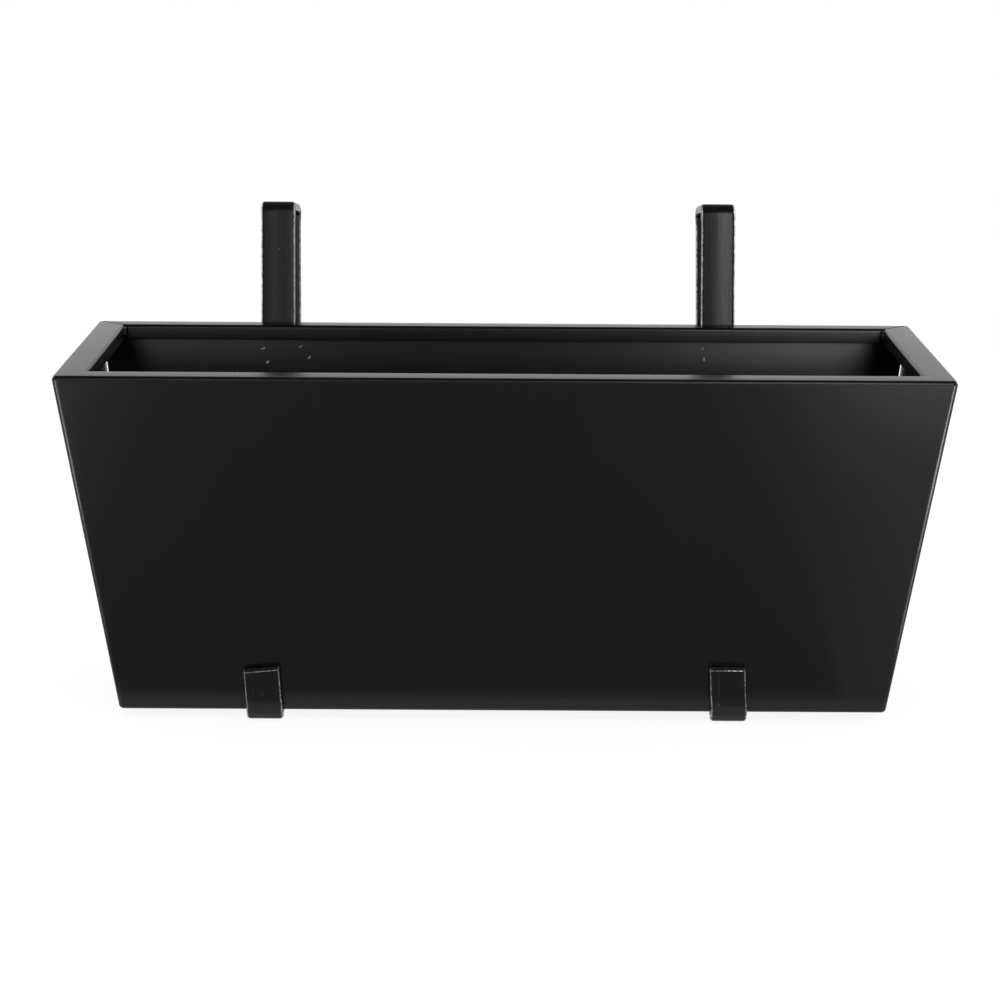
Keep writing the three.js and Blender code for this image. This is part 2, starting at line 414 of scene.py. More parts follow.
def tinted(graph, color, amount):
    """The colour times an amount that varies over the surface"""
    level = graph.add("ShaderNodeCombineColor", None, {0: amount, 1: amount, 2: amount})
    return graph.add(
        "ShaderNodeMix", {"data_type": "RGBA", "blend_type": "MULTIPLY"},
        {0: 1.0, 6: (*color, 1.0), 7: level}, 2)


def orange_peel(graph, place, depth):
    """Height of the coat's fine texture"""
    peel = noise(graph, place, 900.0, 2.0)
    grain = noise(graph, place, 3200.0, 1.0)
    height = peel * 0.75 + grain * 0.25
    return graph.add("ShaderNodeBump", None, {"Strength": 1.0, "Distance": depth, "Height": height})


def specks(graph, place, scale, share):
    """A few small dots of dust in the coat"""
    cells = graph.add("ShaderNodeTexVoronoi", {"feature": "F1"}, {"Vector": place, "Scale": scale}, "Color")
    chance = graph.add("ShaderNodeSeparateColor", None, {0: cells}, 0)
    near = graph.add("ShaderNodeTexVoronoi", {"feature": "F1"}, {"Vector": place, "Scale": scale})
    return (chance < share) * (1.0 - near.between(0.08, 0.2))


def sheet_coat():
    """Satin black powder coat of the sheets, laid on smoother towards the back"""
    look = bpy.context.scene.planter_coat
    material, graph, shader, place = coat_graph("sheet_powder_coat")
    clouds = noise(graph, place, 14.0, 3.0)
    grain = noise(graph, place, 1800.0, 1.0)
    dust = specks(graph, place, 160.0, 0.035)
    back = graph.add("ShaderNodeSeparateXYZ", None, {0: place}, 1).between(SHELL_LOW.y, REAR_HIGH.y)
    amount = 0.86 + clouds * 0.16 + grain * 0.12 + dust * 2.5
    fall = look.rear_roughness - look.front_roughness
    rough = look.front_roughness - 0.03 + back * fall + clouds * 0.04 + grain * 0.02
    graph.feed(shader.inputs["Base Color"], tinted(graph, look.sheet_color, amount))
    graph.feed(shader.inputs["Roughness"], rough)
    graph.feed(shader.inputs["Normal"], orange_peel(graph, place, look.peel_depth))
    shader.inputs["IOR"].default_value = look.sheen_index
    return material


# Scratches and chips in the bars' coat: middle along X and Z, half width and half height, and strength
MARKS = (
    (0.1508, 0.0256, 0.00035, 0.0115, 2.5),
    (0.1508, 0.0145, 0.0007, 0.0007, 9.0),
    (-0.1739, 0.0231, 0.0006, 0.0009, 3.0),
    (-0.1678, 0.0206, 0.0009, 0.0006, 3.0),
    (-0.1694, 0.3034, 0.0006, 0.0006, 11.0),
)


def bar_coat():
    """Satin black powder coat over hot-rolled bar, faintly streaked along the bar, with painted edge
    highlights
    """
    scene = bpy.context.scene
    look, bars = scene.planter_coat, scene.planter_bars
    material, graph, shader, place = coat_graph("bar_powder_coat")
    run = graph.add("ShaderNodeAttribute", {"attribute_name": "run"}, output="Fac")
    across = graph.add("ShaderNodeAttribute", {"attribute_name": "across"}, output="Fac")
    along = graph.add("ShaderNodeCombineXYZ", None, {0: across * 900.0, 1: run * 28.0, 2: 0.0})
    streaks = noise(graph, along, 1.0, 3.0, 0.6)
    broad = graph.add("ShaderNodeCombineXYZ", None, {0: across * 220.0, 1: run * 9.0, 2: 3.0})
    bands = noise(graph, broad, 1.0, 2.0)
    grain = noise(graph, place, 1500.0, 1.0)
    dust = specks(graph, place, 210.0, 0.05)
    x, z = (graph.add("ShaderNodeSeparateXYZ", None, {0: place}, axis) for axis in (0, 2))
    worn = dust
    for middle, height, half_width, half_height, strength in MARKS:
        worn = worn + x.bell(middle, half_width) * z.bell(height, half_height) * strength
    amount = 0.7 + streaks * 0.35 + bands * 0.3 + grain * 0.1 + worn * 3.0
    rough = look.bar_roughness - 0.07 + streaks * 0.1 + bands * 0.06
    # Painted highlight: uncoated metallic steel laid in patches along the bars' rounded edges and cut ends,
    # where the shine would catch the light; partly real wear where the coat is thin over the edges
    side = across.maths("ABSOLUTE", across)
    bare_and_sheen = side.bell(BAR_HALF - bars.edge_radius * 0.3, bars.edge_radius * 0.16)
    cut = graph.add("ShaderNodeAttribute", {"attribute_name": "from_cut"}, output="Fac")
    bare_and_sheen = bare_and_sheen + cut.bell(bars.end_round * 0.65, bars.end_round * 0.45)
    patchy = noise(graph, place, 420.0, 3.0, 0.6).between(0.3, 0.7)
    bare_and_sheen = bare_and_sheen.clipped() * (0.3 + patchy * 0.7) * look.edge_sheen_and_wear
    coated = tinted(graph, look.bar_color, amount)
    graph.feed(shader.inputs["Base Color"], graph.add(
        "ShaderNodeMix", {"data_type": "RGBA"}, {0: bare_and_sheen, 6: coated, 7: BARE_STEEL_SHEEN}, 2))
    graph.feed(shader.inputs["Metallic"], bare_and_sheen)
    graph.feed(shader.inputs["Roughness"], rough)
    texture = noise(graph, place, 800.0, 2.0) * 0.6 + streaks * 2.0 + bands * 7.0
    swell = across * across * (-bars.crown / BAR_HALF ** 2)
    bump = graph.add(
        "ShaderNodeBump", None,
        {"Strength": 1.0, "Distance": 1.0, "Height": texture * look.peel_depth + swell})
    graph.feed(shader.inputs["Normal"], bump)
    shader.inputs["IOR"].default_value = look.sheen_index
    return material


def weld_coat():
    """The same coat where it has run smooth over a weld"""
    look = bpy.context.scene.planter_coat
    material, graph, shader, place = coat_graph("weld_powder_coat")
    lumps = noise(graph, place, 900.0, 3.0)
    graph.feed(shader.inputs["Base Color"], tinted(graph, look.bar_color, 0.8 + lumps * 0.5))
    graph.feed(shader.inputs["Roughness"], 0.1 + lumps * 0.12)
    graph.feed(shader.inputs["Normal"], orange_peel(graph, place, look.peel_depth))
    shader.inputs["IOR"].default_value = look.weld_index
    return material


def coat(name, maker):
    """The material of that name, made the first time it is asked for"""
    return bpy.data.materials.get(name) or maker()


# Folded sheets


def slope_of(sizes):
    """Lean of the walls, from the upright"""
    return math.atan2(sizes.wall_inset, SHELL_HIGH.z - SHELL_LOW.z)


def rim_overhang(sizes):
    """How far the rim's sharp outline lies outside its rounded fold"""
    radius = sizes.fold_radius + sizes.sheet
    turn = math.pi / 2 + slope_of(sizes)
    return radius * math.tan(turn / 2) - radius


def rim_size(sizes):
    """Half length and depth of the rim's outline, and its front edge's place"""
    over = rim_overhang(sizes)
    front = SHELL_LOW.y - over
    return SHELL_HIGH.x + over, REAR_HIGH.y + over - front, front


def graded(length, first=0.0012, ratio=1.6, longest=0.03):
    """Distances from 0 to a length, close together at both ends"""
    near = [0.0]
    step = first
    while near[-1] + step < length / 2:
        near.append(near[-1] + step)
        step = min(step * ratio, longest)
    far = [length - distance for distance in reversed(near)]
    return near + ([length / 2] if length / 2 - near[-1] > first / 2 else []) + far


def crowned(distance, length, reach):
    """Swelling of a wall at a distance along it: none at its folds and full between them"""
    return 1.0 - math.exp(-min(distance, length - distance) / reach)


class Section:
    """Section of a wall with its rim and its ledge: inset from the rim's outline, and height"""

    def __init__(self, flange, sizes, height, lip_lean=0.0):
        self.sizes = sizes
        self.height = height
        self.slope = math.atan2(sizes.wall_inset, height)
        self.wall_depth = sizes.sheet / math.cos(self.slope)
        self.shown, self.hidden, self.swell = [], [], []
        corners = [
            Vector((flange + sizes.rim_lip * math.tan(lip_lean), -sizes.rim_lip)),
            Vector((flange, 0.0)),
            Vector((0.0, 0.0)),
            Vector((sizes.wall_inset, -height)),
            Vector((sizes.wall_inset + sizes.floor_ledge, -height)),
        ]
        self.fold(corners)

    def put(self, point, heading, swell=0.0):
        across = Vector((-heading.y, heading.x)) * self.sizes.sheet
        self.shown.append(point.copy())
        self.hidden.append(point + across)
        self.swell.append(swell)

    def fold(self, corners):
        headings = [(b - a).normalized() for a, b in zip(corners, corners[1:])]
        self.put(corners[0], headings[0])
        radius = self.sizes.fold_radius + self.sizes.sheet
        for i, corner in enumerate(corners[1:-1]):
            before, after = headings[i], headings[i + 1]
            turn = math.atan2(before.cross(after), before.dot(after))
            inside = self.sizes.fold_radius if turn < 0 else radius
            run = inside * math.tan(abs(turn) / 2)
            side = math.copysign(inside, turn)
            centre = corner - before * run + Vector((-before.y, before.x)) * side
            for step in range(FOLD_STEPS + 1):
                angle = turn * step / FOLD_STEPS
                heading = Matrix.Rotation(angle, 2) @ before
                out = Vector((-heading.y, heading.x)) * side
                self.put(centre - out, heading)
            if i == 1:
                self.wall(self.shown[-1], corners[3], after, radius)
        self.put(corners[-1], headings[-1])

    def wall(self, start, corner, heading, radius):
        """Points down the wall between its two folds"""
        turn = math.pi / 2 - self.slope
        length = (corner - start).length - radius * math.tan(turn / 2)
        for distance in graded(length)[1:-1]:
            swell = crowned(distance, length, self.sizes.crown_reach)
            self.put(start + heading * distance, heading, swell)

    def arrays(self):
        """The section as one loop: shown face, cut edge, hidden face, cut edge"""
        def loop(first, second):
            ends = [(a + b) / 2 for a, b in ((first[-1], second[-1]), (first[0], second[0]))]
            return [*first, ends[0], *reversed(second), ends[1]]
        shown = [np.array(point) for point in self.shown]
        hidden = [np.array(point) for point in self.hidden]
        points = np.array(loop(shown, hidden))
        rounding = self.sizes.sheet * CUT_BULGE
        for index, before in ((len(shown), len(shown) - 2), (len(points) - 1, 1)):
            outward = points[index] - (points[before] + hidden[before]) / 2
            points[index] += outward / np.linalg.norm(outward) * rounding
        return points, np.array(loop(self.swell, self.swell))

    def inset_at(self, z):
        return -z * math.tan(self.slope)

    def inwards(self, points):
        return points[:, 0] - self.inset_at(points[:, 1])

    def past_wall(self, points):
        return self.inwards(points) > self.wall_depth + self.sizes.mitre_radius


def skin(name, rings, material):
    """Closes rings of a sheet's section into one body and puts it in the scene"""
    rings = np.array(rings)
    count = rings.shape[1]
    half = count // 2
    faces = []
    for ring in range(len(rings) - 1):
        start = ring * count
        for i in range(count):
            j = (i + 1) % count
            faces.append((start + i, start + j, start + count + j, start + count + i))
    last = (len(rings) - 1) * count
    for i in range(half - 2):
        facing = count - 2 - i
        faces.append((i, facing, facing - 1, i + 1))
        faces.append((last + i, last + i + 1, last + facing - 1, last + facing))
    for base, flip in ((0, False), (last, True)):
        for tip in ((0, count - 1, count - 2), (half - 2, half, half - 1)):
            corners = [base + index for index in tip]
            faces.append(tuple(reversed(corners)) if flip else tuple(corners))
    mesh = bpy.data.meshes.new(name)
    mesh.from_pydata(rings.reshape(-1, 3).tolist(), [], faces)
    return settle(name, mesh, material)


def settle(name, mesh, material, sharp=50.0):
    """Turns a mesh's faces outwards, shades it smooth up to its sharp edges and links it"""
    work = bmesh.new()
    work.from_mesh(mesh)
    bmesh.ops.remove_doubles(work, verts=work.verts, dist=MERGE_DISTANCE)
    bmesh.ops.recalc_face_normals(work, faces=work.faces)
    work.to_mesh(mesh)
    work.free()
    mesh.shade_smooth()
    mesh.set_sharp_from_angle(angle=math.radians(sharp))
    if material.name not in mesh.materials:
        mesh.materials.append(material)
    piece = bpy.data.objects.new(name, mesh)
    bpy.context.scene.collection.objects.link(piece)
    return piece


def seam_cuts(sizes):
    """The rim's mitre as a slope, and how far a seam cuts back each side on the rim and the ledge"""
    mitre = sizes.rear_rim_flange / sizes.rim_flange
    return mitre, sizes.rim_seam / 2 * math.hypot(1, mitre), sizes.seam_gap / 2 * math.sqrt(2)


def shell_rings(sizes):
    """Rings of the front and both ends, from the rear left corner round to the rear right"""
    half_length, depth, front = rim_size(sizes)
    section = Section(sizes.rim_flange, sizes, SHELL_HIGH.z - SHELL_LOW.z)
    points, swell = section.arrays()
    inwards, past = section.inwards(points), section.past_wall(points)
    mitre, rim_trim, ledge_trim = seam_cuts(sizes)
    on_rim = points[:, 1] > -section.height / 2
    rear_face = depth - section.inset_at(points[:, 1])
    rear = np.where(past, np.where(
        on_rim, depth - points[:, 0] * mitre - rim_trim, rear_face - inwards - ledge_trim), rear_face)
    outer = sizes.corner_radius
    radius = np.maximum(outer - inwards, sizes.mitre_radius)
    lean, drop = math.cos(section.slope), math.sin(section.slope)
    rings = []

    end_length = float(depth - outer)
    for distance in graded(end_length)[:-1]:
        share = distance / end_length
        y = rear + (points[:, 0] + radius - rear) * share
        out = sizes.crown * swell * crowned(distance, end_length, sizes.crown_reach)
        rings.append(np.stack(
            [points[:, 0] - half_length - out * lean, y, points[:, 1] - out * drop], 1))
    for step in range(CORNER_STEPS + 1):
        angle = math.pi + math.pi / 2 * step / CORNER_STEPS
        x = points[:, 0] + radius - half_length + radius * math.cos(angle)
        y = points[:, 0] + radius + radius * math.sin(angle)
        rings.append(np.stack([x, y, points[:, 1]], 1))
    front_length = 2 * half_length - 2 * outer
    for distance in [d for d in graded(front_length)[1:] if d < front_length / 2 - 1e-6]:
        share = 1.0 - distance / (front_length / 2)
        out = sizes.crown * swell * crowned(distance, front_length, sizes.crown_reach)
        x = (points[:, 0] + radius - half_length) * share
        rings.append(np.stack([x, points[:, 0] - out * lean, points[:, 1] - out * drop], 1))
    mirrored = [ring * np.array([-1.0, 1.0, 1.0]) for ring in reversed(rings)]
    place = np.array([0.0, front, SHELL_HIGH.z])
    return [ring + place for ring in rings + mirrored]


def rear_panel_rings(sizes):
    """Rings of the rear wall, from its right end to its left"""
    half_length, depth, front = rim_size(sizes)
    section = Section(
        sizes.rear_rim_flange, sizes, SHELL_HIGH.z - SHELL_LOW.z, sizes.rear_lip_lean)
    points, swell = section.arrays()
    inwards, past = section.inwards(points), section.past_wall(points)
    mitre, rim_trim, ledge_trim = seam_cuts(sizes)
    between = half_length - section.inset_at(points[:, 1]) - section.wall_depth - sizes.seam_gap
    mitred = np.where(
        points[:, 1] > -section.height / 2,
        half_length - (points[:, 0] + rim_trim) / mitre,
        half_length - section.inset_at(points[:, 1]) - inwards - ledge_trim)
    end = np.where(past, np.minimum(between, mitred), between)
    lean, drop = math.cos(section.slope), math.sin(section.slope)
    length = 2 * half_length
    rings = []
    for distance in graded(length):
        out = sizes.crown * swell * crowned(distance, length, sizes.crown_reach)
        x = end * (1.0 - 2.0 * distance / length)
        rings.append(np.stack([x, depth - points[:, 0] + out * lean, points[:, 1] - out * drop], 1))
    place = np.array([0.0, front, SHELL_HIGH.z])
    return [ring + place for ring in rings]


class PLANTER_OT_sheets(bpy.types.Operator):
    """Folds the shell and the rear panel"""

    bl_idname = "planter.sheets"
    bl_label = "Folded sheets"

    def execute(self, context):
        sizes = context.scene.planter_sheets
        material = coat("sheet_powder_coat", sheet_coat)
        for name, node, maker in (
            ("folded_shell", "planter_shell", shell_rings),
            ("folded_rear_panel", "rear_panel", rear_panel_rings),
        ):
            piece = skin(name, maker(sizes), material)
            soften_edges(piece, sizes.cut_round, 2, 60.0)
            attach(piece, PLANTER_BODY)
            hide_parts(node)
        return {"FINISHED"}


class PLANTER_OT_floor(bpy.types.Operator):
    """Cuts the floor sheet with its row of drain holes"""

    bl_idname = "planter.floor"
    bl_label = "Floor"

    def execute(self, context):
        sizes = context.scene.planter_sheets
        size = FLOOR_HIGH - FLOOR_LOW
        middle = (FLOOR_HIGH + FLOOR_LOW) / 2
        recipe = Recipe("drained_floor", {
            "Length": float(size.x),
            "Depth": float(size.y),
            "Thickness": float(size.z),
            "Corner": sizes.fold_radius + sizes.sheet,
            "Holes": sizes.drain_count,
            "Spacing": sizes.drain_spacing,
            "Hole radius": sizes.drain_radius,
        })
        given = recipe.given
        outline = recipe.rounded_rectangle(given("Length"), given("Depth"), given("Corner"), 8)
        hole = recipe.add(
            "GeometryNodeCurvePrimitiveCircle", None,
            {"Resolution": 40, "Radius": given("Hole radius")})
        first = (given("Holes") - 1.0) * given("Spacing") * -0.5
        row = recipe.add(
            "GeometryNodeMeshLine", {"mode": "OFFSET"},
            {"Count": given("Holes"), "Start Location": recipe.join(first, 0.0, 0.0),
             "Offset": recipe.join(given("Spacing"), 0.0, 0.0)})
        holes = recipe.add(
            "GeometryNodeInstanceOnPoints", None, {"Points": row, "Instance": hole})
        holes = recipe.add("GeometryNodeRealizeInstances", None, {"Geometry": holes})
        curves = recipe.add("GeometryNodeJoinGeometry", None, {"Geometry": [outline, holes]})
        whole = solid_plate(recipe, curves, given("Thickness"))
        low = Vector((middle.x, middle.y, FLOOR_LOW.z))
        placed = recipe.add(
            "GeometryNodeTransform", None, {"Geometry": whole, "Translation": tuple(low)})
        recipe.finish(placed, coat("sheet_powder_coat", sheet_coat))
        mesh = recipe.make("floor_sheet", [(0.0, 0.0, 0.0)])
        piece = settle("floor_sheet", mesh, coat("sheet_powder_coat", sheet_coat), 40.0)
        soften_edges(piece, sizes.sheet * 0.15, 2)
        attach(piece, PLANTER_BODY)
        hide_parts("floor_panel")
        return {"FINISHED"}


def solid_plate(recipe, outline, thickness):
    """A plate over the area inside an outline, from 0 up to its thickness"""
    flat = recipe.add("GeometryNodeFillCurve", {"mode": "TRIANGLES"}, {"Curve": outline})
    top = recipe.add(
        "GeometryNodeExtrudeMesh", {"mode": "FACES"},
        {"Mesh": flat, "Offset": recipe.join(0.0, 0.0, 1.0), "Offset Scale": thickness,
         "Individual": False})
    under = recipe.add("GeometryNodeFlipFaces", None, {"Mesh": flat})
    both = recipe.add("GeometryNodeJoinGeometry", None, {"Geometry": [top, under]})
    return recipe.add("GeometryNodeMergeByDistance", None, {"Geometry": both, "Distance": 1e-6})


def soften_edges(piece, width, segments, angle=40.0):
    """Rounds a piece's sharp edges"""
    bevel = piece.modifiers.new("soft_edges", "BEVEL")
    bevel.width = width
    bevel.segments = segments
    bevel.limit_method = "ANGLE"
    bevel.angle_limit = math.radians(angle)


# Bent bars


class Bar:
    """The bar's path in the plane square to X, as corners of its middle line"""

    def __init__(self, sheets, bars, tab_height):
        depth, front = rim_size(sheets)[1:]
        self.slope = slope_of(sheets)
        self.bars = bars
        self.depth = depth
        height = SHELL_HIGH.z - SHELL_LOW.z
        thickness = bars.thickness
        self.inside = sheets.fold_radius + sheets.sheet + bars.rest_gap
        hook = bars.rail_gap + 2 * thickness
        strap = -height - bars.rest_gap
        inset = -strap * math.tan(self.slope) - bars.rest_gap / math.cos(self.slope)
        front_bottom = Vector((inset, strap))
        lean = Vector((-math.sin(self.slope), math.cos(self.slope)))
        face = [
            self.beside(bars.hook_rise - bars.hook_leg, bars.rest_gap + hook),
            self.beside(bars.hook_rise, bars.rest_gap + hook),
            self.beside(bars.hook_rise, bars.rest_gap),
            Vector((depth - inset, strap)),
            front_bottom,
            front_bottom + lean * (tab_height / math.cos(self.slope)),
        ]
        shift = Vector((front, SHELL_HIGH.z))
        self.corners = [corner + shift for corner in self.offset(face, thickness / 2)]

    def beside(self, up, out):
        """Point a distance up the rear wall's slope from the rim, and a distance out from it"""
        along = Vector((math.sin(self.slope), math.cos(self.slope)))
        away = Vector((math.cos(self.slope), -math.sin(self.slope)))
        return Vector((self.depth, 0.0)) + along * up + away * out

    @staticmethod
    def offset(corners, distance):
        """The same path, shifted to its left by a distance"""
        headings = [(b - a).normalized() for a, b in zip(corners, corners[1:])]
        lefts = [Vector((-heading.y, heading.x)) for heading in headings]
        shifted = [corners[0] + lefts[0] * distance]
        for corner, before, after in zip(corners[1:-1], lefts, lefts[1:]):
            shifted.append(corner + (before + after) * (distance / (1.0 + before.dot(after))))
        return shifted + [corners[-1] + lefts[-1] * distance]

    def bends(self):
        """Centre of each bend's rounding"""
        radius = self.inside + self.bars.thickness / 2
        centres = []
        for before, corner, after in zip(self.corners, self.corners[1:], self.corners[2:]):
            back, on = (before - corner).normalized(), (after - corner).normalized()
            half = back.angle(on) / 2
            centres.append(corner + (back + on).normalized() * (radius / math.sin(half)))
        return centres

    def stations(self):
        """Distance along the bar at which each bend begins and ends, and the bar's length"""
        radius = self.inside + self.bars.thickness / 2
        stations, run = [], 0.0
        for before, corner, after in zip(self.corners, self.corners[1:], self.corners[2:]):
            turn = (corner - before).angle(after - corner)
            cut = radius * math.tan(turn / 2)
            begin = run + (corner - before).length - cut
            run = begin + radius * turn - cut
            stations.append((begin, begin + radius * turn))
        return stations, run + (self.corners[-1] - self.corners[-2]).length

    def points(self, middle):
        """The path with a few more points beside each bend, at a place along X"""
        path = [self.corners[0]]
        for start, end in zip(self.corners, self.corners[1:]):
            heading, length = (end - start).normalized(), (end - start).length
            after = [d for d in BESIDE_BENDS if start is not self.corners[0] and d < length / 2]
            before = [
                length - d for d in reversed(BESIDE_BENDS)
                if end is not self.corners[-1] and d < length / 2]
            path += [start + heading * d for d in after + before] + [end]
        return [Vector((middle, point.x, point.y)) for point in path]


def bracket(name, node, bar, width, middle, shape, material):
    """Sweeps the flat bar along its path, swells its bends and bends it out of true"""
    bars = bar.bars
    front = bar.corners[-2]
    up_front = Vector((0.0, -math.sin(bar.slope), math.cos(bar.slope)))
    stations, length = bar.stations()
    strap_start, (strap_end, tab_start) = stations[-2][1], stations[-1]
    values = {
        "Width": width,
        "Thickness": bars.thickness,
        "Edge radius": bars.edge_radius,
        "Bend radius": bar.inside + bars.thickness / 2,
        "Inside radius": bar.inside,
        "Swell": bars.bend_swell,
        "Middle": Vector((middle, 0.0, 0.0)),
        "Rim height": float(SHELL_HIGH.z),
        "Lean": math.tan(shape["lean"]),
        "Drift": shape["drift"],
        "Drift start": strap_start,
        "Drift end": strap_end,
        "Skew": shape["skew"],
        "Skew start": tab_start,
        "Skew pivot": Vector((middle + shape["drift"], front.x, front.y)),
        "Skew axis": Vector((0.0, -math.cos(bar.slope), -math.sin(bar.slope))),
        "Up the tab": up_front,
        "Cut": math.tan(shape["cut"]),
        "Cut start": tab_start,
        "Cut end": length,
    }
    centres = bar.bends()
    for number, centre in enumerate(centres, 1):
        values[f"Bend {number}"] = Vector((middle - width, centre.x, centre.y))
    recipe = Recipe(name + "_path", values)
    given = recipe.given
    path = recipe.add("GeometryNodeMeshToCurve", None, {"Mesh": recipe.from_seed()})
    path = recipe.add(
        "GeometryNodeFilletCurve", {"mode": "POLY"},
        {"Curve": path, "Count": 14, "Radius": given("Bend radius")})
    run = recipe.add("GeometryNodeSplineParameter", output="Length")
    path = recipe.stored(path, "run", run)
    profile = recipe.rounded_rectangle(given("Width"), given("Thickness"), given("Edge radius"), 5)
    swept = recipe.add(
        "GeometryNodeCurveToMesh", None,
        {"Curve": path, "Profile Curve": profile, "Fill Caps": True})

    axes = []
    for number in range(1, len(centres) + 1):
        axes.append(recipe.add(
            "GeometryNodeMeshLine", {"mode": "OFFSET"},
            {"Count": 2, "Start Location": given(f"Bend {number}"),
             "Offset": recipe.join(given("Width") * 2.0, 0.0, 0.0)}))
    near = recipe.add(
        "GeometryNodeProximity", {"target_element": "EDGES"},
        {0: recipe.add("GeometryNodeJoinGeometry", None, {"Geometry": axes})}, "Distance")
    position = recipe.position()
    x = recipe.split(recipe.vectors("SUBTRACT", position, given("Middle")))[0]
    share = x / (given("Width") * 0.5)
    swell = given("Swell") * share * near.bell(given("Inside radius"), given("Inside radius") * 0.9)
    swollen = recipe.placed(swept, Offset=recipe.join(swell, 0.0, 0.0))
    marked = recipe.stored(swollen, "across", x)
    distance = recipe.add(
        "GeometryNodeInputNamedAttribute", {"data_type": "FLOAT"}, {"Name": "run"}, "Attribute")
    marked = recipe.stored(marked, "from_cut", given("Cut end") - distance)
    above = recipe.split(position)[2] - given("Rim height")
    sideways = given("Drift") * ((distance - given("Drift start"))
        / (given("Drift end") - given("Drift start"))).clipped()
    sideways = sideways - given("Lean") * above * (above > 0.0)
    cut = given("Cut") * x * distance.between(given("Cut start"), given("Cut end"))
    shifted = recipe.placed(marked, Offset=recipe.vectors(
        "ADD", recipe.join(sideways, 0.0, 0.0), recipe.scaled(given("Up the tab"), cut)))
    turn = given("Skew") * distance.between(
        given("Skew start"), given("Skew start") + given("Thickness") * 2.0)
    turned = recipe.add(
        "ShaderNodeVectorRotate", {"rotation_type": "AXIS_ANGLE"},
        {"Vector": recipe.position(), "Center": given("Skew pivot"), "Axis": given("Skew axis"),
         "Angle": turn})
    recipe.finish(recipe.placed(shifted, Position=turned), material)
    points = bar.points(middle)
    mesh = recipe.make(name, points, [(i, i + 1) for i in range(len(points) - 1)])
    piece = settle(name, mesh, material, 40.0)
    soften_edges(piece, bars.end_round, 3, 60.0)
    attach(piece, BRACKET_BODY)
    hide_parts(node)
    return piece


class PLANTER_OT_brackets(bpy.types.Operator):
    """Bends both brackets"""

    bl_idname = "planter.brackets"
    bl_label = "Brackets"

    def execute(self, context):
        sheets, bars = context.scene.planter_sheets, context.scene.planter_bars
        material = coat("bar_powder_coat", bar_coat)
        for index, side in enumerate(("left", "right")):
            low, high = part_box(f"bracket_{side}")
            bar = Bar(sheets, bars, bars.tab[index])
            shape = {key: getattr(bars, key)[index] for key in ("lean", "drift", "skew", "cut")}
            bracket(
                f"bent_bracket_{side}", f"bracket_{side}", bar,
                float(high.x - low.x), float(high.x + low.x) / 2, shape, material)
        return {"FINISHED"}


# Welds and lugs


class PLANTER_OT_lugs(bpy.types.Operator):
    """Stands the four lugs on the rear wall"""

    bl_idname = "planter.lugs"
    bl_label = "Lugs"

    def execute(self, context):
        welds = context.scene.planter_welds
        material = coat("sheet_powder_coat", sheet_coat)
        recipe = Recipe("rounded_lugs", {
            "Width": welds.lug_width,
            "Length": welds.lug_length,
            "Depth": welds.lug_depth,
            "Corner": welds.lug_corner,
            "Turn": Vector((math.pi / 2 - slope_of(context.scene.planter_sheets), 0.0, 0.0)),
        })
        given = recipe.given
        outline = recipe.rounded_rectangle(given("Width"), given("Length"), given("Corner"), 6)
        block = solid_plate(recipe, outline, given("Depth"))
        block = recipe.add(
            "GeometryNodeTransform", None,
            {"Geometry": block, "Translation": recipe.join(0.0, 0.0, given("Depth") * -0.5)})
        lugs = recipe.add(
            "GeometryNodeInstanceOnPoints", None,
            {"Points": recipe.from_seed(), "Instance": block,
             "Rotation": given("Turn")})
        recipe.finish(lugs, material)
        middles = [(low + high) / 2 for low, high in (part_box(node) for node in LUGS)]
        piece = settle("wall_lugs", recipe.make("wall_lugs", middles), material, 40.0)
        soften_edges(piece, welds.lug_edge, 3)
        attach(piece, PLANTER_BODY)
        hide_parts(*LUGS)
        return {"FINISHED"}


